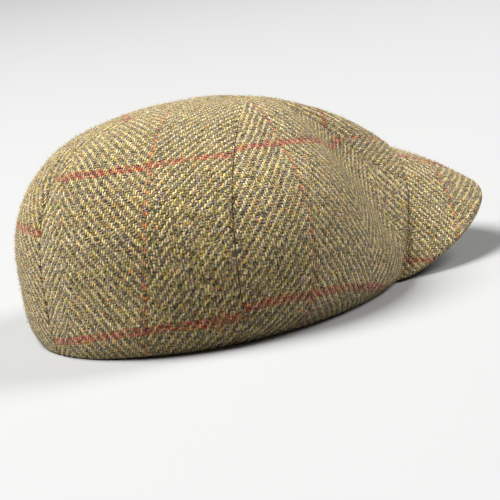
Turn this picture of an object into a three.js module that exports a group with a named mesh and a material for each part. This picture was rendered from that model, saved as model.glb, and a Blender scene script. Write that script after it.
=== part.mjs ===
// A flat cap of thick herringbone tweed, resting on its rim with the head opening down.
//
// The crown is five gores whose tips meet at a centre that sits well forward: two rear gores with a
// seam at the centre back, two side gores and a narrow front gore. Each gore is a wall of cloth. The
// peak is a stiff plate covered in the same cloth, strongly arched, under the crown's front edge.
//
// Millimetres, +Z up. The peak points to -Y, so the wearer's right is at -X. The right half is
// worked out and mirrored.
import * as THREE from "three";

// Driving dimensions
const HEAD = { halfLength: 103, halfWidth: 80.6, taper: 0.06 }; // the rim, narrower towards the front
const WIDEST = { front: 121, back: 107.1, halfWidth: 91.5, taper: 0.1 }; // the crown seen from above
const CENTRE = new THREE.Vector3(0, -38.7, 105); // where the gores meet
const PEAK_CORNER_ANGLE = 49.2; // degrees round the rim from the centre front
// The peak's root seam at the centre front, and the powers that shape it down to the peak's corners
const ROOT = { y: -119, z: 56.4, arch: 1.68, along: 1.41, pace: 1.25 };
const PEAK = { tipY: -168, tipZ: 33.6, halfWidth: 66, arch: 1.05, bow: 5.2, thickness: 4.6 };
const PEAK_OUTLINE = { across: 0.72, along: 0.89, corner: 6 }; // powers that square the outline up
const CLOTH = 2.4; // tweed with its backing
const SEAM_GAP = 0.34; // between neighbouring pieces
const TIP_RADIUS = 2.2; // a gore's tip stops this far short of the centre
const PUFF = { height: 2.7, valley: 0.6, across: 0.6, lean: 0.7, fade: 1.2 }; // from seam to middle
const FLOOR_GAP = 0.5; // the peak's corners stay this far off the surface the cap rests on
const PEAK_END = 0.95; // how far round the peak runs towards its corners

// How finely the pieces are faceted
const GORE_ROWS = 22;
const PEAK_COLUMNS = 28;
const PEAK_ROWS = 5;
const PEAK_EDGE_TURNS = [35, 60, 80]; // degrees round the peak's rounded edge

// Stations run round the crown's lower edge, from 0 at the centre front to 1 at the centre back.
const PEAK_CORNER = 0.3;
const FRONT_SEAM = 0.13;
const SIDE_SEAM = 0.665;
const BACK_SEAM = 1;

// One row for each section of the crown, from its centre over its widest point to its lower edge.
// waist is the widest point's height above the lower edge, and overhang the share of the way out to
// the widest outline at which it lies. reach and rise place the curve's first handle, out from the
// centre and up, and shoulder lifts its second one above the waist.
const SECTIONS = [
  { station: 0.0, waist: 1.2, overhang: 0.5, reach: 0.26, rise: -2.6, shoulder: 0.28 },
  { station: 0.3, waist: 20, overhang: 0.55, reach: 0.35, rise: 1.2, shoulder: 0.35 },
  { station: 0.5, waist: 29.4, overhang: 0.9, reach: 0.39, rise: 7.3, shoulder: 0.53 },
  { station: 0.72, waist: 34.8, overhang: 1, reach: 0.43, rise: 14.6, shoulder: 0.79 },
  { station: 1.0, waist: 38.1, overhang: 1, reach: 0.63, rise: 13.9, shoulder: 1.06 },
];
const WAIST_AT = 0.72; // the widest point's share of the way from the centre to the lower edge
const TUCK = { drop: 0.75, out: 0.78, up: 0.2 }; // handles of the curve from the waist to the lower edge

const HEART = new THREE.Vector3(0, -15, 20); // the gores swell away from this point inside the cap

const { clamp, degToRad, lerp } = THREE.MathUtils;

function hermite(a, b, slopeA, slopeB, q) {
  const p = 1 - q;
  return (1 + 2 * q) * p ** 2 * a + q * p ** 2 * slopeA + (1 + 2 * p) * q ** 2 * b - p * q ** 2 * slopeB;
}

// A column of SECTIONS at any station: smooth, with level ends and no overshoot.
function sectionValue(column, station) {
  const last = SECTIONS.length - 1;
  const rise = (i) =>
    (SECTIONS[i + 1][column] - SECTIONS[i][column]) / (SECTIONS[i + 1].station - SECTIONS[i].station);
  const slope = (i) => (i > 0 && i < last && rise(i - 1) * rise(i) > 0 ? (rise(i - 1) + rise(i)) / 2 : 0);
  let i = 0;
  while (i < last - 1 && station >= SECTIONS[i + 1].station) i++;
  const [from, to] = [SECTIONS[i], SECTIONS[i + 1]];
  const span = to.station - from.station;
  const q = clamp((station - from.station) / span, 0, 1);
  return hermite(from[column], to[column], slope(i) * span, slope(i + 1) * span, q);
}

function bezier(a, b, c, d, q) {
  const p = 1 - q;
  const point = new THREE.Vector3();
  point.addScaledVector(a, p ** 3);
  point.addScaledVector(b, 3 * p ** 2 * q);
  point.addScaledVector(c, 3 * p * q ** 2);
  return point.addScaledVector(d, q ** 3);
}

// The angle round the head at a station, 0 at the centre front and 180 at the centre back.
function headAngle(station) {
  const turn =
    station < PEAK_CORNER
      ? (PEAK_CORNER_ANGLE * station) / PEAK_CORNER
      : lerp(PEAK_CORNER_ANGLE, 180, (station - PEAK_CORNER) / (1 - PEAK_CORNER));
  return degToRad(turn);
}

function rimPoint(angle) {
  const halfWidth = HEAD.halfWidth * (1 - HEAD.taper * Math.cos(angle));
  return new THREE.Vector3(-halfWidth * Math.sin(angle), -HEAD.halfLength * Math.cos(angle), 0);
}

// The crown's lower edge: arched over the peak's root in front of the peak's corner, then the rim.
function lowerEdge(station) {
  if (station >= PEAK_CORNER) return rimPoint(headAngle(station));
  const corner = rimPoint(degToRad(PEAK_CORNER_ANGLE));
  const turn = ((station / PEAK_CORNER) ** ROOT.pace * Math.PI) / 2;
  return new THREE.Vector3(
    corner.x * Math.sin(turn),
    lerp(corner.y, ROOT.y, Math.cos(turn) ** ROOT.along),
    ROOT.z * Math.cos(turn) ** ROOT.arch,
  );
}

function widestPoint(station) {
  const angle = headAngle(station);
  const halfLength = (WIDEST.front + WIDEST.back) / 2;
  const middle = (WIDEST.back - WIDEST.front) / 2;
  const edge = lowerEdge(station);
  const outline = new THREE.Vector3(
    -WIDEST.halfWidth * Math.sin(angle) * (1 - WIDEST.taper * Math.cos(angle)),
    middle - halfLength * Math.cos(angle),
    0,
  );
  const point = new THREE.Vector3().lerpVectors(edge, outline, sectionValue("overhang", station));
  return point.setZ(edge.z + sectionValue("waist", station));
}

// The crown before its gores swell. t runs from 0 at the centre to 1 at the lower edge.
function rightHalf(station, t) {
  const edge = lowerEdge(station);
  const widest = widestPoint(station);
  if (t <= WAIST_AT) {
    const first = new THREE.Vector3().lerpVectors(CENTRE, widest, sectionValue("reach", station));
    first.z = CENTRE.z + sectionValue("rise", station);
    const second = widest.clone();
    second.z = lerp(widest.z, CENTRE.z, sectionValue("shoulder", station));
    return bezier(CENTRE, first, second, widest, t / WAIST_AT);
  }
  const first = widest.clone();
  first.z = lerp(widest.z, edge.z, TUCK.drop);
  const second = new THREE.Vector3().lerpVectors(edge, widest, TUCK.out);
  second.z = lerp(edge.z, widest.z, TUCK.up);
  return bezier(widest, first, second, edge, (t - WAIST_AT) / (1 - WAIST_AT));
}

// Stations below 0 are the left half.
function crownPoint(station, t) {
  const point = rightHalf(Math.abs(station), t);
  if (station < 0) point.x = -point.x;
  return point;
}

// Out from the cloth: square to it down to the waist, and level below, so that the rim lies flat.
function crownNormal(station, t) {
  const step = 1e-3;
  const level = t > WAIST_AT - step;
  const at = level ? WAIST_AT : t;
  const across = crownPoint(station + step, at).sub(crownPoint(station - step, at));
  if (level) return new THREE.Vector3(-across.y, across.x, 0).normalize();
  const down = crownPoint(station, at + step).sub(crownPoint(station, Math.max(at - step, 0)));
  return across.cross(down).normalize();
}

// How far the cloth stands out or in at a share w of the way across a gore. The puff fades out at the
// centre and at the lower edge, and PUFF.valley of its height is a valley along each seam.
function swell(w, t) {
  const across = clamp(4 * w * (1 - w), 0, 1) ** PUFF.across - PUFF.valley;
  const down = Math.sin(Math.PI * clamp(t, 0, 1) ** PUFF.lean) ** PUFF.fade;
  return PUFF.height * across * down;
}

// A closed body between an outer and an inner grid of points, both indexed [row][column].
function wall(outer, inner) {
  const rows = outer.length - 1;
  const columns = outer[0].length - 1;
  const index = (layer, row, column) => (layer * (rows + 1) + row) * (columns + 1) + column;
  const triangles = [];
  const quad = (a, b, c, d) => triangles.push(a, b, c, a, c, d);
  for (let r = 0; r < rows; r++) {
    for (let c = 0; c < columns; c++) {
      quad(index(0, r, c), index(0, r, c + 1), index(0, r + 1, c + 1), index(0, r + 1, c));
      quad(index(1, r, c), index(1, r + 1, c), index(1, r + 1, c + 1), index(1, r, c + 1));
    }
    quad(index(0, r, 0), index(0, r + 1, 0), index(1, r + 1, 0), index(1, r, 0));
    quad(index(0, r, columns), index(1, r, columns), index(1, r + 1, columns), index(0, r + 1, columns));
  }
  for (let c = 0; c < columns; c++) {
    quad(index(0, 0, c), index(1, 0, c), index(1, 0, c + 1), index(0, 0, c + 1));
    quad(index(0, rows, c), index(0, rows, c + 1), index(1, rows, c + 1), index(1, rows, c));
  }
  const geometry = new THREE.BufferGeometry().setFromPoints([...outer.flat(), ...inner.flat()]);
  geometry.setIndex(triangles);
  geometry.computeVertexNormals();
  return geometry;
}

// Where a section leaves the small hole that the gores' tips leave at the centre.
function tipShare(station) {
  const place = Math.abs(station);
  const handle = sectionValue("reach", place) * widestPoint(place).sub(CENTRE).setZ(0).length();
  return (TIP_RADIUS * WAIST_AT) / (3 * handle);
}

// One gore between two stations, with half the seam's gap taken off each side.
function goreGeometry({ from, to, columns }) {
  const outer = [];
  const inner = [];
  for (let r = 0; r <= GORE_ROWS; r++) {
    const share = (station) => lerp(tipShare(station), 1, r / GORE_ROWS);
    const width = crownPoint(from, share(from)).distanceTo(crownPoint(to, share(to)));
    const inset = ((SEAM_GAP / 2) * (to - from)) / width;
    const row = { outer: [], inner: [] };
    for (let c = 0; c <= columns; c++) {
      const station = lerp(from + inset, to - inset, c / columns);
      const t = share(station);
      const point = crownPoint(station, t);
      const away = point.clone().sub(HEART).normalize();
      point.addScaledVector(away, swell((station - from) / (to - from), t));
      row.outer.push(point);
      row.inner.push(point.clone().addScaledVector(crownNormal(station, t), -CLOTH));
    }
    outer.push(row.outer);
    inner.push(row.inner);
  }
  return wall(outer, inner);
}

// The peak's outer edge. s is -1 and 1 at its corners and 0 at the tip, and its sign is the side's,
// as it is for stations.
function peakEdge(s) {
  const corner = rimPoint(degToRad(PEAK_CORNER_ANGLE));
  const turn = (Math.abs(s) * Math.PI) / 2;
  const sweep = -PEAK.halfWidth * Math.sin(turn) ** PEAK_OUTLINE.across;
  return new THREE.Vector3(
    lerp(sweep, corner.x, Math.abs(s) ** PEAK_OUTLINE.corner) * Math.sign(s),
    lerp(corner.y, PEAK.tipY, Math.cos(turn) ** PEAK_OUTLINE.along),
    PEAK.tipZ * Math.cos(turn) ** PEAK.arch,
  );
}

function peakRoot(s) {
  const root = lowerEdge(Math.abs(s) * PEAK_CORNER);
  root.x *= Math.sign(s);
  root.z -= SEAM_GAP;
  return root;
}

// The peak's upper face, with t from 0 at its root to 1 at its edge.
function peakPoint(s, t) {
  const point = peakRoot(s).lerp(peakEdge(s), t);
  point.z += 4 * PEAK.bow * t * (1 - t) * Math.cos((s * Math.PI) / 2) ** 2;
  return point;
}

function peakNormal(s, t) {
  const step = 1e-3;
  const across = peakPoint(s + step, t).sub(peakPoint(s - step, t));
  const down = peakPoint(s, t + step).sub(peakPoint(s, t - step));
  return across.cross(down).normalize();
}

// Rows of the peak, root to edge: how deep each lies in from the edge, and how thick the peak is there.
function peakRows(depth) {
  const half = PEAK.thickness / 2;
  const rows = [];
  for (let r = 0; r <= PEAK_ROWS; r++) {
    rows.push({ inset: lerp(depth - SEAM_GAP, half, r / PEAK_ROWS), thickness: PEAK.thickness });
  }
  for (const turn of PEAK_EDGE_TURNS.map(degToRad)) {
    rows.push({ inset: half * (1 - Math.sin(turn)), thickness: PEAK.thickness * Math.cos(turn) });
  }
  return rows;
}

function peakGeometry() {
  const upper = [];
  const lower = [];
  for (let c = 0; c <= PEAK_COLUMNS; c++) {
    const s = lerp(-PEAK_END, PEAK_END, c / PEAK_COLUMNS);
    const depth = peakRoot(s).distanceTo(peakEdge(s));
    peakRows(depth).forEach(({ inset, thickness }, r) => {
      const t = 1 - inset / depth;
      const point = peakPoint(s, t);
      const normal = peakNormal(s, t);
      const top = point.clone().addScaledVector(normal, (thickness - PEAK.thickness) / 2);
      const bottom = point.clone().addScaledVector(normal, -(thickness + PEAK.thickness) / 2);
      bottom.z = Math.max(bottom.z, FLOOR_GAP);
      (upper[r] ??= []).push(top);
      (lower[r] ??= []).push(bottom);
    });
  }
  return wall(upper, lower);
}

const GORES = [
  { name: "crown_rear_left", from: -BACK_SEAM, to: -SIDE_SEAM, columns: 11 },
  { name: "crown_side_left", from: -SIDE_SEAM, to: -FRONT_SEAM, columns: 14 },
  { name: "crown_front", from: -FRONT_SEAM, to: FRONT_SEAM, columns: 8 },
  { name: "crown_side_right", from: FRONT_SEAM, to: SIDE_SEAM, columns: 14 },
  { name: "crown_rear_right", from: SIDE_SEAM, to: BACK_SEAM, columns: 11 },
];

const TWEED = new THREE.MeshStandardMaterial({ color: 0x8a7f5c, roughness: 0.95, metalness: 0 });

function piece(name, geometry) {
  const mesh = new THREE.Mesh(geometry, TWEED);
  mesh.name = name;
  return mesh;
}

const cap = new THREE.Group();
for (const gore of GORES) cap.add(piece(gore.name, goreGeometry(gore)));
cap.add(piece("peak", peakGeometry()));

// The origin is the middle of the cap as seen from above, on the surface that it rests on.
const middle = new THREE.Box3().setFromObject(cap).getCenter(new THREE.Vector3());
cap.position.set(0, -middle.y, 0);

export default cap;
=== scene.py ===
"""A flat cap of herringbone tweed with a windowpane overcheck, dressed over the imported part.

The gores and the peak follow the part's own formulas, in millimetres, on finer grids. Each piece is then
laid flat like the cloth that it was cut from, which places the weave and the check.
"""
import math

import bpy
import numpy as np
from mathutils import Matrix, Vector


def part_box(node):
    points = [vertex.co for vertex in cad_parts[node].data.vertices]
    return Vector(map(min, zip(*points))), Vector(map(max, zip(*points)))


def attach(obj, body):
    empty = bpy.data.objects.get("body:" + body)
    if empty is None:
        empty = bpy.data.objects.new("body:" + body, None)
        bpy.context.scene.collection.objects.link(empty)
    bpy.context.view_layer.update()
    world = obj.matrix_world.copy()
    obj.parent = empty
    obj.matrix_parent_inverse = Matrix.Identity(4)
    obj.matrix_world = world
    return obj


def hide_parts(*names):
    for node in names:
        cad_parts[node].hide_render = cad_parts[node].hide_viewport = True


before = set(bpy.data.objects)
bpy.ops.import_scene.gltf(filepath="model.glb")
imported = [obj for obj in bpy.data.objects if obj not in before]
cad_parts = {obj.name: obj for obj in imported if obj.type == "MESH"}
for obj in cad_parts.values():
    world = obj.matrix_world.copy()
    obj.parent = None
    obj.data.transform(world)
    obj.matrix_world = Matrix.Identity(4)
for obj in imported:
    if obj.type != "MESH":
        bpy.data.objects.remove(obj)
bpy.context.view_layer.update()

MM = 0.001

# Sizes in millimetres. They are the part's own, apart from the front, which follows the photograph more
# closely here: ROOT, the peak's bow, PUFF and the columns of SECTIONS up to the station 0.3.
HEAD = {"half_length": 103, "half_width": 80.6, "taper": 0.06}
WIDEST = {"front": 121, "back": 107.1, "half_width": 91.5, "taper": 0.1}
CENTRE = np.array([0, -38.7, 105])
PEAK_CORNER_ANGLE = 49.2  # degrees round the rim from the centre front
ROOT = {"y": -119.5, "z": 60.4, "arch": 1.68, "along": 1.41, "pace": 1.25}
PEAK = {"tip_y": -168, "tip_z": 33.6, "half_width": 66, "arch": 1.05, "bow": 2.6, "thickness": 4.6}
PEAK_OUTLINE = {"across": 0.72, "along": 0.89, "corner": 6}
BOW_SCALE = 2.6  # the bow's curve, sqrt(t) * (1 - t), is 1 / 2.6 at its highest
CLOTH = 2.4
PUFF = {"height": 2.4, "valley": 0.6, "across": 0.75, "lean": 0.95, "fade": 2}
FLOOR_GAP = 0.5
PEAK_END = 0.95

# Stations run round the crown's lower edge, from 0 at the centre front to 1 at the centre back. They are
# below 0 on the left.
PEAK_CORNER = 0.3
FRONT_SEAM = 0.13
SIDE_SEAM = 0.665
BACK_SEAM = 1

# One column for each section of the crown, from its centre over its widest point to its lower edge. waist
# is the widest point's height above the lower edge, and overhang the share of the way out to the widest
# outline at which it lies. reach and rise place the curve's first handle, and shoulder and lean its second.
SECTIONS = {
    "station": (0, 0.17, 0.3, 0.5, 0.72, 1),
    "waist": (1, 1.6, 18, 29.4, 34.8, 38.1),
    "overhang": (0.35, 0.12, 0.42, 0.9, 1, 1),
    "reach": (0.26, 0.31, 0.35, 0.39, 0.43, 0.63),
    "rise": (-1.9, -0.5, 1.2, 7.3, 14.6, 13.9),
    "shoulder": (0.28, 0.32, 0.36, 0.53, 0.79, 1.06),
    "lean": (0.08, 0.38, 0.25, 0, 0, 0),
}
WAIST_AT = 0.72  # the widest point's share of the way from the centre to the lower edge
TUCK = {"drop": 0.75, "out": 0.78, "up": 0.2}  # handles of the curve from there to the lower edge
HEART = np.array([0, -15, 20])  # the gores swell away from this point inside the cap

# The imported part's origin is the middle of its box, so it lies further along Y than the sizes above
PLACE_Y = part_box("peak")[0].y / MM - PEAK["tip_y"]

# Detail that only the dressed cap has, in millimetres
TIP_RADIUS = 0.35
SEAM_INSET = 0.03
SEAM = {"depth": 1.1, "width": 0.6, "from_centre": (50, 140)}
PUCKER = {"height": 0.3, "reach": 8, "length": 16, "seed": 12}
UNDULATION = {"height": 0.55, "length": 58, "seed": 11}
RELIEF_FADE = {"edge": (0, 14), "centre": (2, 30)}
RIM_WAVE = {"height": 0.6, "length": 70, "seed": 13, "power": 1.5, "reach": 30}
TURN_UP = {"height": 16, "thickness": 1.1, "edge": 2}
ALLOWANCE = {"width": 8, "thickness": 1.0, "edge": 1.5}
PEAK_WAVE = {"height": 0.3, "length": 40, "seed": 21, "fade": 0.3}
WAVE_COUNT = 9
WAVE_SPREAD = (0.7, 1.5)
EDGE_SEAM = {"turn": 118, "depth": 0.7, "width": 9}

# Loose fibres of two links: shares of the fibre's length, apart from its length and width in millimetres
NAP = {
    "length": (1.2, 3.6),
    "width": (0.07, 0.15),
    "lift": (0.05, 0.4),
    "first_link": 0.5,
    "second_link": 0.35,
    "curl": 0.5,
    "droop": 0.25,
    "taper": 3,
}
NAP_COUNT = {"rear": 9000, "side": 7500, "front": 2000, "peak": 4500}
NAP_SEED = {"crown": 31, "peak": 41}

# Grid sizes
GORE_ROWS = 108
GORE_COLUMNS = {"rear": 72, "side": 88, "front": 44}
END_CROWDING = 0.72
FOLD_ROWS = 6
PEAK_COLUMNS = 130
PEAK_ROWS = 36
PEAK_EDGE_ROWS = 10
ROW_SPREAD = 0.93
FLAT_ROWS = {"gore": 40, "peak": 15}
FLAT_COLUMNS = 29
FLAT_STEPS = 1500
FLAT_PACE = 1.6

# The cloth, in millimetres and numbers of yarns: ends run along the warp and picks across it
END = 1.12
PICK = 1.4
COLUMN_ENDS = 42
CHECK_COLUMNS = 4
CHECK_PICKS = 58
CHECK = {"long": CHECK_COLUMNS * COLUMN_ENDS * END, "cross": CHECK_PICKS * PICK}
LONGEST_GORE = 200

# Shape


def hermite(a, b, slope_a, slope_b, q):
    p = 1 - q
    return (1 + 2 * q) * p**2 * a + q * p**2 * slope_a + (1 + 2 * p) * q**2 * b - p * q**2 * slope_b


def section_value(column, station):
    """A row of SECTIONS at any station: smooth, with level ends and no overshoot."""
    x = np.array(SECTIONS["station"], float)
    y = np.array(SECTIONS[column], float)
    rise = np.diff(y) / np.diff(x)
    slope = np.zeros(len(x))
    slope[1:-1] = np.where(rise[:-1] * rise[1:] > 0, (rise[:-1] + rise[1:]) / 2, 0)
    i = np.clip(np.searchsorted(x, station, side="right") - 1, 0, len(x) - 2)
    span = x[i + 1] - x[i]
    q = np.clip((station - x[i]) / span, 0, 1)
    return hermite(y[i], y[i + 1], slope[i] * span, slope[i + 1] * span, q)


def bezier(a, b, c, d, q):
    q = q[..., None]
    p = 1 - q
    return p**3 * a + 3 * p**2 * q * b + 3 * p * q**2 * c + q**3 * d


def xyz(x, y, z):
    return np.stack(np.broadcast_arrays(x, y, z), -1).astype(float)


def blend(a, b, q):
    return a + (b - a) * q


def head_angle(station):
    front = PEAK_CORNER_ANGLE * station / PEAK_CORNER
    back = blend(PEAK_CORNER_ANGLE, 180, (station - PEAK_CORNER) / (1 - PEAK_CORNER))
    return np.radians(np.where(station < PEAK_CORNER, front, back))


def rim_point(angle):
    half_width = HEAD["half_width"] * (1 - HEAD["taper"] * np.cos(angle))
    return xyz(-half_width * np.sin(angle), -HEAD["half_length"] * np.cos(angle), 0)


def lower_edge(station):
    """The crown's lower edge: arched over the peak's root, then the rim."""
    corner = rim_point(math.radians(PEAK_CORNER_ANGLE))
    turn = np.clip(station / PEAK_CORNER, 0, 1) ** ROOT["pace"] * math.pi / 2
    cos = np.maximum(np.cos(turn), 0)
    arch = xyz(
        corner[0] * np.sin(turn),
        blend(corner[1], ROOT["y"], cos ** ROOT["along"]),
        ROOT["z"] * cos ** ROOT["arch"],
    )
    behind = (station >= PEAK_CORNER)[..., None]
    return np.where(behind, rim_point(head_angle(station)), arch)


def with_z(point, z):
    return xyz(point[..., 0], point[..., 1], z)


def widest_point(station):
    angle = head_angle(station)
    half_length = (WIDEST["front"] + WIDEST["back"]) / 2
    middle = (WIDEST["back"] - WIDEST["front"]) / 2
    outline = xyz(
        -WIDEST["half_width"] * np.sin(angle) * (1 - WIDEST["taper"] * np.cos(angle)),
        middle - half_length * np.cos(angle),
        0,
    )
    edge = lower_edge(station)
    point = blend(edge, outline, section_value("overhang", station)[..., None])
    return with_z(point, edge[..., 2] + section_value("waist", station))


def crown_point(station, t):
    """The crown before its gores swell. t is 0 at the centre and 1 at the lower edge."""
    station, t = np.broadcast_arrays(np.asarray(station, float), np.asarray(t, float))
    place = np.abs(station)
    edge = lower_edge(place)
    widest = widest_point(place)
    edge_z = edge[..., 2]
    widest_z = widest[..., 2]
    first = blend(CENTRE, widest, section_value("reach", place)[..., None])
    first = with_z(first, CENTRE[2] + section_value("rise", place))
    second = blend(widest, CENTRE, section_value("lean", place)[..., None])
    second = with_z(second, blend(widest_z, CENTRE[2], section_value("shoulder", place)))
    upper = bezier(CENTRE, first, second, widest, np.clip(t / WAIST_AT, 0, 1))
    first = with_z(widest, blend(widest_z, edge_z, TUCK["drop"]))
    second = with_z(blend(edge, widest, TUCK["out"]), blend(edge_z, widest_z, TUCK["up"]))
    lower = bezier(widest, first, second, edge, np.clip((t - WAIST_AT) / (1 - WAIST_AT), 0, 1))
    point = np.where((t <= WAIST_AT)[..., None], upper, lower)
    point[..., 0] *= np.where(station < 0, -1, 1)
    return point


def swell(w, t):
    across = np.clip(4 * w * (1 - w), 0, 1) ** PUFF["across"] - PUFF["valley"]
    down = np.clip(np.sin(math.pi * np.clip(t, 0, 1) ** PUFF["lean"]), 0, 1) ** PUFF["fade"]
    return PUFF["height"] * across * down


def tip_share(station):
    """Where a section leaves the small hole that the gores' tips leave at the centre."""
    place = np.abs(station)
    away = (widest_point(place) - CENTRE)[..., :2]
    handle = section_value("reach", place) * np.linalg.norm(away, axis=-1)
    return TIP_RADIUS * WAIST_AT / (3 * handle)


def peak_edge(s):
    """The peak's outer edge, s from -1 to 1 with 0 at the tip."""
    corner = rim_point(math.radians(PEAK_CORNER_ANGLE))
    turn = np.abs(s) * math.pi / 2
    cos = np.maximum(np.cos(turn), 0)
    sweep = -PEAK["half_width"] * np.sin(turn) ** PEAK_OUTLINE["across"]
    return xyz(
        blend(sweep, corner[0], np.abs(s) ** PEAK_OUTLINE["corner"]) * np.sign(s),
        blend(corner[1], PEAK["tip_y"], cos ** PEAK_OUTLINE["along"]),
        PEAK["tip_z"] * cos ** PEAK["arch"],
    )


def peak_root(s):
    root = lower_edge(np.abs(s) * PEAK_CORNER)
    root[..., 0] *= np.sign(s)
    root[..., 2] -= SEAM_INSET
    return root


def peak_point(s, t):
    """The peak's upper face, t from 0 at its root to 1 at its edge."""
    s, t = np.broadcast_arrays(np.asarray(s, float), np.asarray(t, float))
    point = blend(peak_root(s), peak_edge(s), t[..., None])
    rise = BOW_SCALE * np.sqrt(np.maximum(t, 0)) * (1 - t)
    point[..., 2] += PEAK["bow"] * rise * np.cos(s * math.pi / 2) ** 2
    return point


# Surfaces as grids of points


def unit(vectors):
    return vectors / np.maximum(np.linalg.norm(vectors, axis=-1, keepdims=True), 1e-9)


def grid_normals(points):
    """Out from a grid whose rows run down and whose columns run with the stations."""
    return unit(np.cross(np.gradient(points, axis=1), np.gradient(points, axis=0)))


def arc(points, axis):
    """Distance along a grid's rows or columns, from 0 at their start."""
    steps = np.linalg.norm(np.diff(points, axis=axis), axis=-1)
    start = np.zeros_like(np.take(steps, [0], axis=axis))
    return np.concatenate([start, np.cumsum(steps, axis=axis)], axis=axis)


def smooth_step(low, high, x):
    q = np.clip((x - low) / (high - low), 0, 1)
    return q * q * (3 - 2 * q)


def waves(points, kind):
    """Soft random waves over a set of points, about 1 high, of kind's length and seed."""
    rng = np.random.default_rng(kind["seed"])
    directions = unit(rng.normal(size=(WAVE_COUNT, points.shape[-1])))
    lengths = kind["length"] * rng.uniform(*WAVE_SPREAD, WAVE_COUNT)
    phases = rng.uniform(0, 2 * math.pi, WAVE_COUNT)
    total = sum(
        np.sin(2 * math.pi * (points @ way) / size + phase)
        for way, size, phase in zip(directions, lengths, phases)
    )
    return total / math.sqrt(WAVE_COUNT)


def crowded(count):
    """Shares from 0 to 1 that stand closer together at both ends."""
    q = np.linspace(0, 1, count)
    return q - END_CROWDING * np.sin(2 * math.pi * q) / (2 * math.pi)


# Laying the cloth flat


def relax(points, flat):
    """Moves a flat net until its links are as long as those of the grid that it covers."""
    rows, columns = flat.shape[:2]
    index = np.arange(rows * columns).reshape(rows, columns)
    pairs = [
        (index[:, :-1], index[:, 1:]),
        (index[:-1], index[1:]),
        (index[:-1, :-1], index[1:, 1:]),
        (index[:-1, 1:], index[1:, :-1]),
    ]
    a = np.concatenate([p[0].ravel() for p in pairs])
    b = np.concatenate([p[1].ravel() for p in pairs])
    solid = points.reshape(-1, 3)
    rest = np.linalg.norm(solid[a] - solid[b], axis=1)
    net = flat.reshape(-1, 2).copy()
    links = np.bincount(a, minlength=len(net)) + np.bincount(b, minlength=len(net))
    for _ in range(FLAT_STEPS):
        way = net[b] - net[a]
        length = np.linalg.norm(way, axis=1)
        pull = way * (0.5 * (length - rest) / np.maximum(length, 1e-9))[:, None]
        for k in range(2):
            net_pull = np.bincount(a, pull[:, k], len(net)) - np.bincount(b, pull[:, k], len(net))
            net[:, k] += FLAT_PACE * net_pull / links
    return net.reshape(rows, columns, 2)


def flatten(points):
    """A grid of points as flat cloth: x grows along the rows from the middle column, v down them."""
    middle = points.shape[1] // 2
    x = arc(points, 1)
    x -= x[:, middle : middle + 1]
    v = np.repeat(arc(points, 0)[:, middle : middle + 1], points.shape[1], 1)
    return relax(points, np.stack([x, v], -1))


def finer(values, places):
    """values along axis 0 at fractional places from 0 to 1, on cubics through their neighbours."""
    last = len(values) - 1
    padded = np.concatenate([[2 * values[0] - values[1]], values, [2 * values[-1] - values[-2]]])
    x = np.clip(places, 0, 1) * last
    i = np.minimum(x.astype(int), last - 1)
    q = (x - i).reshape((-1,) + (1,) * (values.ndim - 1))
    a, b, c, d = (padded[i + k] for k in range(4))
    square = a - 2.5 * b + 2 * c - d / 2
    cube = 1.5 * (b - c) + (d - a) / 2
    return b + q * (c - a) / 2 + q**2 * square + q**3 * cube


def spread(flat, rows, columns):
    """A flat net at finer rows and columns."""
    tall = finer(flat, rows)
    return finer(tall.transpose(1, 0, 2), columns).transpose(1, 0, 2)


def curve(coefficients, x):
    a, b, c = coefficients
    return a + b * x + c * x**2


def lay(flat, orange, upper, lower, turned=False, bolt=0):
    """Cloth coordinates in metres: the first is 0 on a long line of the check, the second on a cross line.

    orange is the long line, x as a quadratic of v, and upper and lower are two neighbouring cross lines,
    v as quadratics of x. A turned piece was cut the other way up. bolt picks another repeat of the check.
    """
    x, v = flat[..., 0], flat[..., 1]
    slope = orange[1] + 2 * orange[2] * np.clip(v, 0, LONGEST_GORE)
    across = (x - curve(orange, v)) / np.sqrt(1 + slope**2)
    top = curve(upper, x)
    down = CHECK["cross"] * (v - top) / (curve(lower, x) - top)
    way = -1 if turned else 1
    return MM * np.stack([way * across + bolt * CHECK["long"], way * down + 2 * bolt * CHECK["cross"]], -1)


# Meshes


def shell_faces(rows, columns):
    """Faces of a closed body whose every column is one closed loop of rows points."""
    index = np.arange(rows * columns).reshape(rows, columns)
    below = np.roll(index, -1, axis=0)
    around = np.stack([index[:, :-1], index[:, 1:], below[:, 1:], below[:, :-1]], -1).reshape(-1, 4)
    half = rows // 2
    k = np.arange(half - 1)
    mate = rows - 1 - k
    first = np.stack([index[k, 0], index[k + 1, 0], index[mate - 1, 0], index[mate, 0]], -1)
    last = np.stack([index[k, -1], index[mate, -1], index[mate - 1, -1], index[k + 1, -1]], -1)
    return np.concatenate([around, first, last])


def add_piece(name, points, faces, cloth, material, smooth):
    """A mesh from points in millimetres, with the cloth coordinates of each, on the part's one body."""
    mesh = bpy.data.meshes.new(name)
    placed = (points + [0, PLACE_Y, 0]) * MM
    mesh.from_pydata(placed.tolist(), [], faces.tolist())
    layer = mesh.uv_layers.new(name="cloth")
    layer.data.foreach_set("uv", cloth[faces.ravel()].ravel())
    mesh.polygons.foreach_set("use_smooth", np.full(len(faces), smooth))
    mesh.materials.append(material)
    mesh.update()
    piece = bpy.data.objects.new(name, mesh)
    bpy.context.collection.objects.link(piece)
    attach(piece, "root")
    return piece


def make_skin(name, loops, cloth, material):
    """A closed smooth skin from loops [row][column]."""
    faces = shell_faces(*loops.shape[:2])
    return add_piece(name, loops.reshape(-1, 3), faces, cloth.reshape(-1, 2), material, True)


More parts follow.
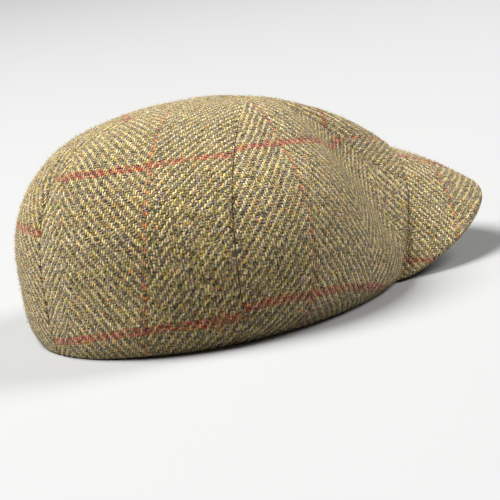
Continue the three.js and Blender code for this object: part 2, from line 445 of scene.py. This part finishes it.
def scatter(points, normals, cloth, count, seed):
    """Loose fibres over a face: places, directions and cloth coordinates, spread evenly by area."""
    rng = np.random.default_rng(seed)
    across = points[:-1, 1:] - points[:-1, :-1]
    down = points[1:, :-1] - points[:-1, :-1]
    area = np.linalg.norm(np.cross(across, down), axis=-1).ravel()
    row, column = np.divmod(rng.choice(len(area), count, p=area / area.sum()), across.shape[1])
    a, b = rng.random((2, count, 1))

    def inside(grid):
        near = grid[row, column] * (1 - a) + grid[row, column + 1] * a
        far = grid[row + 1, column] * (1 - a) + grid[row + 1, column + 1] * a
        return near * (1 - b) + far * b

    return inside(points), unit(inside(normals)), inside(cloth), rng


def make_nap(name, points, normals, cloth, count, material, seed):
    """Short curled ribbons of two links each, rooted on the outer face."""
    root, out, place, rng = scatter(points, normals, cloth, count, seed)
    along = unit(np.cross(out, rng.normal(size=(count, 3))))
    side = np.cross(out, along)
    length = rng.uniform(*NAP["length"], (count, 1))
    lift = rng.uniform(*NAP["lift"], (count, 1))
    curl = rng.uniform(-NAP["curl"], NAP["curl"], (count, 1))
    bend = root + along * length * NAP["first_link"] + out * length * lift
    tip = bend + (along * NAP["second_link"] + side * curl + out * (lift - NAP["droop"])) * length
    half = side * rng.uniform(*NAP["width"], (count, 1)) / 2
    narrow = half / NAP["taper"]
    links = [root - half, root + half, bend + half, bend - half, tip + narrow, tip - narrow]
    corners = np.stack(links, 1)
    clear = corners[..., 2].min(1) > 0
    corners, place = corners[clear], place[clear]
    first = np.arange(len(corners))[:, None] * len(links)
    faces = np.concatenate([first + [0, 1, 2, 3], first + [3, 2, 4, 5]])
    place = np.repeat(place, len(links), 0)
    add_piece(name, corners.reshape(-1, 3), faces, place, material, False)


# Materials


class Graph:
    """Writes a material's sums: each call adds one node and gives back its output."""

    def __init__(self, name):
        self.material = bpy.data.materials.new(name)
        self.material.use_nodes = True
        self.tree = self.material.node_tree
        self.shader = self.tree.nodes["Principled BSDF"]

    def put(self, socket, value):
        if isinstance(value, bpy.types.NodeSocket):
            self.tree.links.new(value, socket)
        else:
            socket.default_value = value

    def node(self, kind, inputs=None, **settings):
        made = self.tree.nodes.new(kind)
        for key, value in settings.items():
            setattr(made, key, value)
        for key, value in (inputs or {}).items():
            self.put(made.inputs[key], value)
        return made

    def math(self, operation, *values):
        made = self.tree.nodes.new("ShaderNodeMath")
        made.operation = operation
        for socket, value in zip(made.inputs, values):
            self.put(socket, value)
        return made.outputs[0]

    def add(self, a, b):
        return self.math("ADD", a, b)

    def sub(self, a, b):
        return self.math("SUBTRACT", a, b)

    def mul(self, a, b):
        return self.math("MULTIPLY", a, b)

    def vector(self, x, y, z=0.0):
        return self.node("ShaderNodeCombineXYZ", {0: x, 1: y, 2: z}).outputs[0]

    def noise(self, place, scale, detail=2.0, rough=0.5):
        inputs = {"Vector": place, "Scale": scale, "Detail": detail, "Roughness": rough}
        return self.node("ShaderNodeTexNoise", inputs).outputs[0]

    def flecks(self, place, scale):
        """Three random numbers for each small patch."""
        made = self.node("ShaderNodeTexVoronoi", {"Vector": place, "Scale": scale}, voronoi_dimensions="2D")
        return self.node("ShaderNodeSeparateColor", {0: made.outputs["Color"]}).outputs

    def dice(self, a, b):
        """Three random numbers for each pair of whole numbers."""
        made = self.node("ShaderNodeTexWhiteNoise", {"Vector": self.vector(a, b)}, noise_dimensions="2D")
        return self.node("ShaderNodeSeparateColor", {0: made.outputs["Color"]}).outputs

    def stretch(self, value, low, high, to_low=0.0, to_high=1.0):
        inputs = {"Value": value, 1: low, 2: high, 3: to_low, 4: to_high}
        return self.node("ShaderNodeMapRange", inputs).outputs[0]

    def ramp(self, value, stops):
        made = self.node("ShaderNodeValToRGB", {0: value})
        ramp = made.color_ramp
        while len(ramp.elements) < len(stops):
            ramp.elements.new(0.5)
        for element, (place, colour) in zip(ramp.elements, stops):
            element.position = place
            element.color = (*colour, 1)
        return made.outputs[0]

    def finish(self, values):
        """Sets constants on the shader's own sockets."""
        for name, value in values.items():
            self.shader.inputs[name].default_value = value

    def mix(self, share, a, b, blend_type="MIX"):
        made = self.node("ShaderNodeMix", data_type="RGBA", blend_type=blend_type)
        self.put(made.inputs[0], share)
        for socket, value in ((made.inputs[6], a), (made.inputs[7], b)):
            self.put(socket, value if isinstance(value, bpy.types.NodeSocket) else (*value, 1))
        return made.outputs[2]


def linear(*srgb):
    """A colour in 0 to 255 as a linear one."""
    return tuple(((c / 255 + 0.055) / 1.055) ** 2.4 if c > 10 else c / 255 / 12.92 for c in srgb)


LIGHT_YARNS = [
    (0.0, linear(172, 164, 62)),
    (0.18, linear(208, 187, 108)),
    (0.34, linear(224, 206, 158)),
    (0.48, linear(198, 168, 92)),
    (0.6, linear(180, 174, 138)),
    (0.74, linear(219, 200, 150)),
    (0.88, linear(182, 174, 58)),
    (1.0, linear(224, 144, 68)),
]
DARK_YARNS = [
    (0.0, linear(103, 98, 78)),
    (0.2, linear(138, 124, 46)),
    (0.4, linear(94, 98, 96)),
    (0.58, linear(132, 110, 110)),
    (0.76, linear(112, 98, 64)),
    (0.9, linear(154, 136, 52)),
    (1.0, linear(168, 102, 50)),
]
FLECKS = [
    (0.0, linear(98, 100, 124)),
    (0.18, linear(148, 120, 134)),
    (0.32, linear(220, 200, 168)),
    (0.46, linear(190, 180, 30)),
    (0.6, linear(112, 116, 44)),
    (0.74, linear(226, 204, 140)),
    (0.88, linear(218, 112, 36)),
    (1.0, linear(90, 78, 66)),
]
ORANGE_YARN = linear(198, 112, 60)
RED_YARN = linear(174, 50, 40)
ORANGE_ENDS = 2
RED_PICKS = 3
CHECK_SHARES = {"orange": (0.1, 0.8, 0.55, 1.0), "red": (0.1, 0.8, 0.7, 1.0), "red_on_light": 0.4}

# How the yarns lie. Noise scales are in cells for each metre, here and below.
ELSEWHERE = (3, 5, 0)  # a second place in the same noise
WEFT_OFFSET = 0.37  # keeps the weft's random numbers apart from the warp's
YARN_CROWN = 0.9
YARN_BLUR = 0.3
WANDER = {"scale": 110, "rough": 0.6, "yarns": 2.0}
FELT = {"scale": 1000, "strength": 5.0}

# How the colours vary
HEATHER = {"scale": 330, "fine_scale": 1100, "fine": 0.7, "middle": 0.4, "yarn": 0.8}
FLECK = {"scale": 950, "share": 0.34}
FIBRE_SCALE = 1100
CLOUD_SCALE = 45
NAP_SCALE = 4000
NAP_RAMP = (0.3, 0.4)

# Each row turns one measure into a factor on the cloth's tone: from low and high, to low and high
TONES = {
    "float": (0, 1, 0.66, 1.32),
    "fibre": (0.3, 0.7, 0.3, 1.75),
    "warp_up": (0, 1, 0.75, 1.15),
    "cloud": (0.3, 0.7, 0.94, 1.06),
    "fleck": (0, 1, 0.22, 1.76),
    # The height row paints shade and highlight: the colour darkens in the gaps between the yarns and
    # lightens on their crowns, by each yarn's height
    "height": (0.5, 1.8, 0.28, 1.56),
}
BRIGHTEST = {"tone": 1.75, "blur": 0.8}
CLOTH_TONE = 0.84
NAP_TONE = 0.7
RELIEF = {"height": 0.6, "fibre": 1.6}

CLOTH_FINISH = {
    "Roughness": 0.92,
    "Specular IOR Level": 0.15,
    "Sheen Weight": 0.25,
    "Sheen Roughness": 0.45,
}
NAP_FINISH = {"Roughness": 0.9, "Specular IOR Level": 0.15}
FLOOR_FINISH = {"Roughness": 0.9, "Specular IOR Level": 0.1}


def weave(g, cloth, elsewhere):
    """A 2/2 twill in herringbone columns: which yarn lies where, how high it stands and its numbers."""
    place = g.node("ShaderNodeSeparateXYZ", {0: cloth}).outputs
    wander_u, wander_v = (
        g.sub(g.noise(spot, WANDER["scale"], 2, WANDER["rough"]), 0.5) for spot in (cloth, elsewhere)
    )
    u = g.math("MULTIPLY_ADD", wander_u, WANDER["yarns"], g.mul(place[0], 1 / (END * MM)))
    v = g.math("MULTIPLY_ADD", wander_v, WANDER["yarns"], g.mul(place[1], 1 / (PICK * MM)))
    end = g.math("FLOOR", u)
    pick = g.math("FLOOR", v)
    column = g.math("FLOOR", g.mul(end, 1 / COLUMN_ENDS))
    odd = g.math("FLOORED_MODULO", column, 2.0)
    sign = g.math("MULTIPLY_ADD", odd, -2.0, 1.0)
    zig = g.math("MULTIPLY_ADD", end, sign, g.mul(odd, 2.0))
    zig_smooth = g.math("MULTIPLY_ADD", g.sub(u, 0.5), sign, g.mul(odd, 2.0))

    # A 2/2 twill repeats after four yarns, so each yarn is a quarter of a turn
    warp_turn = g.mul(g.add(g.sub(v, 1.0), zig), math.pi / 2)
    weft_turn = g.mul(g.add(g.sub(pick, 0.5), zig_smooth), math.pi / 2)
    warp_round = g.math("SINE", g.mul(g.math("FRACT", u), math.pi))
    weft_round = g.math("SINE", g.mul(g.math("FRACT", v), math.pi))
    warp_height = g.math("MULTIPLY_ADD", g.math("COSINE", warp_turn), YARN_CROWN, warp_round)
    weft_height = g.math("MULTIPLY_ADD", g.math("COSINE", weft_turn), -YARN_CROWN, weft_round)
    felted = g.sub(g.noise(elsewhere, FELT["scale"], 1), 0.5)
    difference = g.math("MULTIPLY_ADD", felted, FELT["strength"], g.sub(warp_height, weft_height))

    warp_float = g.math("FLOOR", g.mul(g.add(g.add(pick, zig), 1.0), 0.25))
    weft_float = g.math("FLOOR", g.mul(g.add(g.add(pick, zig), -1.0), 0.25))
    return {
        "end": end,
        "pick": pick,
        "warp_up": g.stretch(difference, -YARN_BLUR, YARN_BLUR),
        "height": g.math("SMOOTH_MAX", warp_height, weft_height, YARN_BLUR),
        "warp_dice": g.dice(end, warp_float),
        "weft_dice": g.dice(g.add(pick, WEFT_OFFSET), weft_float),
    }


def yarn_colours(g, cloth, yarns, fleck):
    """The light warp's and the dark weft's colour, with the check's orange ends and red picks."""
    fine = g.mul(g.sub(g.noise(cloth, HEATHER["fine_scale"], 2), 0.5), HEATHER["fine"])
    heather = g.sub(g.add(g.noise(cloth, HEATHER["scale"], 2), fine), HEATHER["middle"])

    def heathered(dice, stops):
        yarn = g.ramp(g.math("MULTIPLY_ADD", dice[0], HEATHER["yarn"], heather), stops)
        return g.mix(FLECK["share"], yarn, fleck)

    end_in_check = g.math("FLOORED_MODULO", yarns["end"], float(CHECK_COLUMNS * COLUMN_ENDS))
    pick_in_check = g.math("FLOORED_MODULO", yarns["pick"], float(CHECK_PICKS))
    is_orange = g.math("LESS_THAN", end_in_check, ORANGE_ENDS - 0.5)
    is_red = g.math("LESS_THAN", pick_in_check, RED_PICKS - 0.5)
    orange = g.mul(is_orange, g.stretch(yarns["warp_dice"][1], *CHECK_SHARES["orange"]))
    red = g.mul(is_red, g.stretch(yarns["weft_dice"][1], *CHECK_SHARES["red"]))
    light = g.mix(orange, heathered(yarns["warp_dice"], LIGHT_YARNS), ORANGE_YARN)
    light = g.mix(g.mul(is_red, CHECK_SHARES["red_on_light"]), light, RED_YARN)
    dark = g.mix(red, heathered(yarns["weft_dice"], DARK_YARNS), RED_YARN)
    return light, dark


def tweed(name):
    """Woolly herringbone tweed with a check, in cloth coordinates in metres."""
    g = Graph(name)
    cloth = g.node("ShaderNodeUVMap", uv_map="cloth").outputs[0]
    elsewhere = g.node("ShaderNodeVectorMath", {0: cloth, 1: ELSEWHERE}).outputs[0]
    yarns = weave(g, cloth, elsewhere)
    fleck = g.flecks(elsewhere, FLECK["scale"])
    light, dark = yarn_colours(g, cloth, yarns, g.ramp(fleck[2], FLECKS))
    colour = g.mix(yarns["warp_up"], dark, light)

    float_inputs = {0: yarns["warp_up"], 2: yarns["weft_dice"][2], 3: yarns["warp_dice"][2]}
    fibre = g.noise(cloth, FIBRE_SCALE, 1)
    measures = {
        "float": g.node("ShaderNodeMix", float_inputs, data_type="FLOAT").outputs[0],
        "fibre": fibre,
        "warp_up": yarns["warp_up"],
        "cloud": g.noise(cloth, CLOUD_SCALE, 2),
        "fleck": fleck[0],
        "height": yarns["height"],
    }
    # The yarn height factor paints shade into the colour between the yarns and a painted highlight on their
    # crowns; the other factors vary the tone at random or by which yarn lies on top
    tone = 1.0
    for measure, limits in TONES.items():
        tone = g.mul(tone, g.stretch(measures[measure], *limits))
    tone = g.mul(g.math("SMOOTH_MIN", tone, BRIGHTEST["tone"], BRIGHTEST["blur"]), CLOTH_TONE)
    colour = g.mix(1.0, colour, g.vector(tone, tone, tone), "MULTIPLY")
    g.put(g.shader.inputs["Base Color"], colour)

    relief = g.math("MULTIPLY_ADD", fibre, RELIEF["fibre"], g.add(yarns["height"], fleck[1]))
    bump_inputs = {"Strength": 1.0, "Distance": RELIEF["height"] * MM, "Height": relief}
    g.put(g.shader.inputs["Normal"], g.node("ShaderNodeBump", bump_inputs).outputs[0])
    g.finish(CLOTH_FINISH)
    return g.material


def nap_wool(name):
    """The loose fibres that stand off the cloth, each in one yarn's colour."""
    g = Graph(name)
    cloth = g.node("ShaderNodeUVMap", uv_map="cloth").outputs[0]
    first, span = NAP_RAMP
    stops = [(first + span * place, colour) for place, colour in LIGHT_YARNS]
    colour = g.ramp(g.noise(cloth, NAP_SCALE, 1), stops)
    colour = g.mix(1.0, colour, (NAP_TONE, NAP_TONE, NAP_TONE), "MULTIPLY")
    g.put(g.shader.inputs["Base Color"], colour)
    g.finish(NAP_FINISH)
    return g.material


def plain(name, colour, finish):
    g = Graph(name)
    g.shader.inputs["Base Color"].default_value = (*colour, 1)
    g.finish(finish)
    return g.material


# The crown

# Where the check falls on each gore, as the photograph shows it or, where it doesn't, to suit: the three
# coefficients of a quadratic for one orange line and two neighbouring red ones
LAYS = {
    "crown_rear_left": {"orange": (20, 0.1, 0), "upper": (72.5, 0, 0), "lower": (153.5, 0, 0), "bolt": 2},
    "crown_side_left": {
        "orange": (-14, -0.5, 0.0015),
        "upper": (66, 0.13, 0),
        "lower": (147, 0.12, 0),
        "turned": True,
        "bolt": 3,
    },
    "crown_front": {"orange": (45, -0.43, 0), "upper": (40, 0, 0), "lower": (121, 0, 0), "bolt": 4},
    "crown_side_right": {
        "orange": (11.2, 0.591, -0.0018),
        "upper": (59.7, 0.005, -0.0023),
        "lower": (143.6, -0.273, 0.002),
        "turned": True,
    },
    "crown_rear_right": {
        "orange": (41.4, -0.579, 0.0016),
        "upper": (115.3, 0.446, -0.0055),
        "lower": (199.9, 0.215, 0),
        "bolt": 1,
    },
}

GORES = [
    {"name": "crown_rear_left", "from": -BACK_SEAM, "to": -SIDE_SEAM, "kind": "rear"},
    {"name": "crown_side_left", "from": -SIDE_SEAM, "to": -FRONT_SEAM, "kind": "side"},
    {"name": "crown_front", "from": -FRONT_SEAM, "to": FRONT_SEAM, "kind": "front"},
    {"name": "crown_side_right", "from": FRONT_SEAM, "to": SIDE_SEAM, "kind": "side"},
    {"name": "crown_rear_right", "from": SIDE_SEAM, "to": BACK_SEAM, "kind": "rear"},
]
FOLD_TURNS = np.linspace(0, math.pi, FOLD_ROWS + 2)[1:-1]


def swollen(start, end, w, rows):
    """A gore's outer face at shares w across it and rows down it, before its fine detail.

    rows has one column for all of w, or one for each.
    """
    station = blend(start, end, w)[None]
    t = blend(tip_share(station), 1, rows)
    point = crown_point(station, t)
    return point + unit(point - HEART) * swell(w[None] + 0 * t, t)[..., None]


def folded_rows(start, end, w, rows):
    """Rows that stop in every column where its lower edge begins to fold under."""
    down = arc(swollen(start, end, w, rows[:, None]), 0)
    left = down - down[-1:] + CLOTH / 2
    stops = [np.interp(0, column, rows) for column in left.T]
    return rows[:, None] * stops


def gore_flat(start, end, w, rows, folded):
    """The gore's flat cloth, at its folded rows."""
    net_rows = np.linspace(0, 1, FLAT_ROWS["gore"])[:, None]
    net = swollen(start, end, np.linspace(0, 1, FLAT_COLUMNS), net_rows)
    flat = spread(flatten(net), rows, w)
    for column in range(len(w)):
        for k in range(2):
            flat[:, column, k] = np.interp(folded[:, column], rows, flat[:, column, k])
    return flat


def gore_loops(start, end, w, rows):
    """The closed loops of a gore: its outer face, the fold at its lower edge and its inner face."""
    base = swollen(start, end, w, rows)
    out = grid_normals(base)
    across = arc(base, 1)
    side = np.minimum(across, across[:, -1:] - across)
    to_edge = arc(base, 0)
    to_edge = to_edge[-1:] - to_edge + CLOTH / 2
    from_centre = np.linalg.norm(base - CENTRE, axis=-1)

    fade = smooth_step(*RELIEF_FADE["edge"], to_edge) * smooth_step(*RELIEF_FADE["centre"], from_centre)
    relief = UNDULATION["height"] * fade * waves(base, UNDULATION)
    relief += PUCKER["height"] * fade * np.exp(-side / PUCKER["reach"]) * waves(base, PUCKER)
    relief -= SEAM["depth"] * smooth_step(*SEAM["from_centre"], from_centre) * np.exp(-side / SEAM["width"])
    outer = base + out * relief[..., None]
    lift = RIM_WAVE["height"] * np.maximum(waves(base, RIM_WAVE), 0) ** RIM_WAVE["power"]
    outer[..., 2] += lift * (1 - smooth_step(0, RIM_WAVE["reach"], to_edge))

    turned_up = smooth_step(0, TURN_UP["edge"], to_edge) * (
        1 - smooth_step(TURN_UP["height"], TURN_UP["height"] + TURN_UP["edge"], to_edge)
    )
    allowance = 1 - smooth_step(ALLOWANCE["width"], ALLOWANCE["width"] + ALLOWANCE["edge"], side)
    thick = CLOTH + TURN_UP["thickness"] * turned_up
    thick += ALLOWANCE["thickness"] * allowance * smooth_step(0, TURN_UP["edge"], to_edge)
    inner = outer - out * thick[..., None]

    radius = CLOTH / 2
    down = unit(outer[-1] - outer[-2])
    outward = unit(outer[-1] - inner[-1])
    outward = unit(outward - down * (outward * down).sum(-1, keepdims=True))
    middle = outer[-1] - outward * radius
    fold = [middle + radius * (outward * math.cos(a) + down * math.sin(a)) for a in FOLD_TURNS]
    inner[-1] = middle - outward * radius
    return np.concatenate([outer, fold, inner[::-1]]), out


def loop_cloth(outer):
    """Cloth coordinates round a gore's loops.

    The fold carries on from the outer face, and the inner face repeats the outer one.
    """
    step = unit(outer[-1] - outer[-2]) * CLOTH / 2 * MM
    fold = [outer[-1] + step * a for a in FOLD_TURNS]
    return np.concatenate([outer, fold, outer[::-1]])


crown_tweed = tweed("crown_tweed")
peak_tweed = tweed("peak_tweed")
wool = nap_wool("nap_wool")

for number, gore in enumerate(GORES):
    name, start, end = gore["name"], gore["from"], gore["to"]
    w = crowded(GORE_COLUMNS[gore["kind"]])
    rows = np.linspace(0, 1, GORE_ROWS) ** ROW_SPREAD
    folded = folded_rows(start, end, w, rows)
    loops, out = gore_loops(start, end, w, folded)
    cloth = lay(gore_flat(start, end, w, rows, folded), **LAYS[name])
    skin = make_skin(name + "_cloth", loops, loop_cloth(cloth), crown_tweed)
    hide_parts(name)
    count = NAP_COUNT[gore["kind"]]
    seed = NAP_SEED["crown"] + number
    make_nap(name + "_nap", loops[:GORE_ROWS], out, cloth, count, wool, seed)

# The peak

PEAK_LAY = {"orange": (22, 0.18, 0), "upper": (18, 0, 0), "lower": (95.5, 0, 0), "bolt": 6}
PEAK_TURNS = np.linspace(0, 180, PEAK_EDGE_ROWS + 2)[1:-1]


def peak_grid(s, rows):
    """The peak's upper face. Rows run from the root to where the rounded edge begins."""
    depth = np.linalg.norm(peak_root(s) - peak_edge(s), axis=-1)
    half = PEAK["thickness"] / 2
    end = 1 - np.minimum(half / depth, 0.5)
    return peak_point(s[None], end[None] * rows[:, None])


def peak_loops(s, rows):
    """The closed loops of the peak, and the directions out of its upper face."""
    upper = peak_grid(s, rows)
    normal = -grid_normals(upper)
    normal *= np.sign(normal[PEAK_ROWS // 2, PEAK_COLUMNS // 2, 2])
    wave = PEAK_WAVE["height"] * waves(upper, PEAK_WAVE) * smooth_step(0, PEAK_WAVE["fade"], rows)[:, None]
    upper = upper + normal * wave[..., None]
    lower = upper - normal * PEAK["thickness"]
    forward = unit(upper[-1] - upper[-2])
    middle = (upper[-1] + lower[-1]) / 2
    upward = unit(upper[-1] - lower[-1])
    edge = []
    for turn in PEAK_TURNS:
        a = math.radians(turn)
        groove = EDGE_SEAM["depth"] * math.exp(-(((turn - EDGE_SEAM["turn"]) / EDGE_SEAM["width"]) ** 2))
        radius = PEAK["thickness"] / 2 - groove
        edge.append(middle + radius * (upward * math.cos(a) + forward * math.sin(a)))
    loops = np.concatenate([upper, edge, lower[::-1]])
    loops[..., 2] = np.maximum(loops[..., 2], FLOOR_GAP)
    return loops, upper, normal


def peak_cloth(s, rows):
    """Cloth coordinates of the peak's upper face, and of its loops."""
    net = peak_grid(np.linspace(-PEAK_END, PEAK_END, FLAT_COLUMNS), np.linspace(0, 1, FLAT_ROWS["peak"]))
    flat = spread(flatten(net), rows, (s + PEAK_END) / (2 * PEAK_END))
    cloth = lay(flat[..., ::-1], **PEAK_LAY)
    step = unit(cloth[-1] - cloth[-2]) * PEAK["thickness"] / 2 * MM
    edge = [cloth[-1] + step * math.radians(turn) for turn in PEAK_TURNS]
    return cloth, np.concatenate([cloth, edge, cloth[::-1]])


columns = np.linspace(-PEAK_END, PEAK_END, PEAK_COLUMNS)
rows = np.linspace(0, 1, PEAK_ROWS)
loops, upper, normal = peak_loops(columns, rows)
cloth, loop_places = peak_cloth(columns, rows)
skin = make_skin("peak_cloth", loops, loop_places, peak_tweed)
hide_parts("peak")
make_nap("peak_nap", upper, normal, cloth, NAP_COUNT["peak"], wool, NAP_SEED["peak"])

# The camera, at the photograph's place

CAMERA = {"azimuth": 33.304, "elevation": 13.664, "roll": 8.218, "distance": 1055.07}
LOOK_AT = {"right": 17.5, "up": 26.8}
HALF_WIDTH_SEEN = 133.75
SENSOR_WIDTH = 36
FARTHEST_SEEN = 60

azimuth = math.radians(CAMERA["azimuth"])
elevation = math.radians(CAMERA["elevation"])
level_back = Vector((-math.cos(azimuth), math.sin(azimuth), 0))
back = level_back * math.cos(elevation) + Vector((0, 0, math.sin(elevation)))
right = Vector((-math.sin(azimuth), -math.cos(azimuth), 0))
up = back.cross(right)
rim_centre = Vector((0, PLACE_Y, 0)) * MM
position = rim_centre + back * CAMERA["distance"] * MM
target = rim_centre + (right * LOOK_AT["right"] + up * LOOK_AT["up"]) * MM
look = (target - position).normalized()
level_right = look.cross(Vector((0, 0, 1))).normalized()
axes = Matrix((level_right, level_right.cross(look), -look)).transposed()
camera_data = bpy.data.cameras.new("camera")
camera_data.sensor_width = SENSOR_WIDTH
camera_data.lens = SENSOR_WIDTH / 2 * CAMERA["distance"] / HALF_WIDTH_SEEN
camera_data.clip_end = FARTHEST_SEEN
camera = bpy.data.objects.new("camera", camera_data)
roll = Matrix.Rotation(math.radians(-CAMERA["roll"]), 3, "Z")
camera.matrix_world = Matrix.Translation(position) @ (axes @ roll).to_4x4()
bpy.context.collection.objects.link(camera)
bpy.context.scene.camera = camera

# Floor and light

FLOOR_SIZE = 40
FLOOR_COLOUR = (0.34, 0.34, 0.338)
WORLD_STRENGTH = 0.08

corners = [(-1, -1, 0), (1, -1, 0), (1, 1, 0), (-1, 1, 0)]
places = [tuple(c * FLOOR_SIZE / 2 for c in corner) for corner in corners]
floor_mesh = bpy.data.meshes.new("floor")
floor_mesh.from_pydata(places, [], [(0, 1, 2, 3)])
floor_mesh.materials.append(plain("floor_white", FLOOR_COLOUR, FLOOR_FINISH))
floor = bpy.data.objects.new("floor", floor_mesh)
bpy.context.collection.objects.link(floor)

world = bpy.data.worlds.new("studio")
world.use_nodes = True
world.node_tree.nodes["Background"].inputs[0].default_value = (1, 1, 1, 1)
world.node_tree.nodes["Background"].inputs[1].default_value = WORLD_STRENGTH
bpy.context.scene.world = world

LIGHTS = [
    {"name": "key", "place": (1.2, 2.0, 4.0), "size": 3.0, "power": 540},
    {"name": "front", "place": (-1.2, -3.4, 3.1), "size": 2.4, "power": 228},
]
for light in LIGHTS:
    data = bpy.data.lights.new(light["name"], "AREA")
    data.shape = "DISK"
    data.size = light["size"]
    data.energy = light["power"]
    lamp = bpy.data.objects.new(light["name"], data)
    lamp.location = light["place"]
    lamp.rotation_euler = (-Vector(light["place"])).to_track_quat("-Z", "Y").to_euler()
    bpy.context.collection.objects.link(lamp)

bpy.context.scene.view_settings.view_transform = "Standard"
